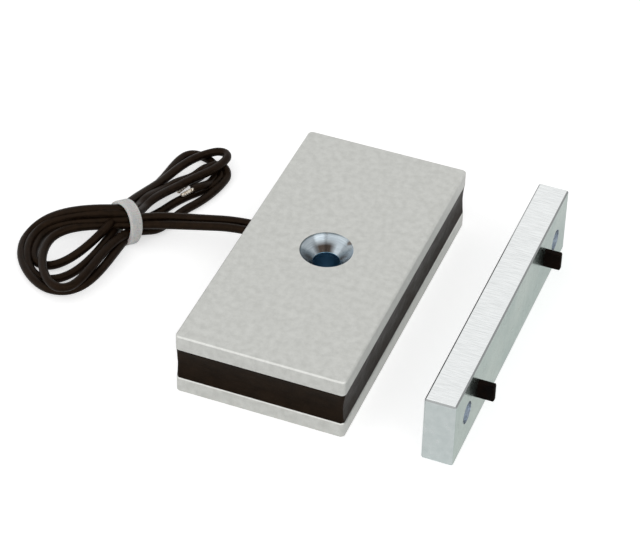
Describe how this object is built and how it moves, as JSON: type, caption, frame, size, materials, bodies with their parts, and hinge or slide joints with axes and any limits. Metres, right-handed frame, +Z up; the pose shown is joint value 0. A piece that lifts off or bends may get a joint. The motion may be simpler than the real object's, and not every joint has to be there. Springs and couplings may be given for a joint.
{
  "type": "electromagnetic lock",
  "caption": "Small surface-mounted electromagnetic lock: a flat potted magnet with a countersunk mounting hole and a tied hank of leads, beside its loose strike plate.",
  "frame": {"origin": "on the axis of the magnet's mounting bore, in the plane of the magnet's lower face, on which the magnet, the strike plate and the leads lie", "axes": "+Y along the magnet and the strike plate, +X from the magnet's pole face to the strike plate, +Z up, towards the countersunk face"},
  "size_m": [0.1179, 0.0784, 0.0166],
  "materials": {
    "pole_zinc": "matte bright zinc plating with a fine cloudy grain",
    "core_steel": "bare machined steel",
    "former_nylon": "moulded, matte",
    "winding_copper": "enamelled copper wire",
    "winding_tape": "smooth polyester tape",
    "potting_epoxy": "cast epoxy, slightly satin",
    "solder": "dull solder",
    "joint_sleeve": "shrunk sleeve",
    "lead_insulation": "extruded PVC with a soft gloss",
    "tinned_copper": "twisted strands, tinned",
    "tie_nylon": "natural nylon, slightly translucent",
    "strike_zinc": "glossy bright zinc plating, ground along one edge",
    "pad_rubber": "matte rubber"
  },
  "bodies": {
    "root": {"upper_pole_plate": "pole_zinc", "lower_pole_plate": "pole_zinc", "core_block": "core_steel", "coil_former": "former_nylon", "coil_winding": "winding_copper", "winding_tape": "winding_tape", "potting": "potting_epoxy", "lead_1_coil_tail": "winding_copper", "lead_2_coil_tail": "winding_copper", "lead_1_solder_joint": "solder", "lead_2_solder_joint": "solder", "lead_1_joint_sleeve": "joint_sleeve", "lead_2_joint_sleeve": "joint_sleeve", "lead_1_run": "lead_insulation", "lead_2_run": "lead_insulation", "lead_hank": "lead_insulation", "lead_1_bare_end": "tinned_copper", "lead_2_bare_end": "tinned_copper", "lead_tie": "tie_nylon", "strike_plate": "strike_zinc", "strike_pad_front": "pad_rubber", "strike_pad_rear": "pad_rubber"}
  },
  "joints": []
}
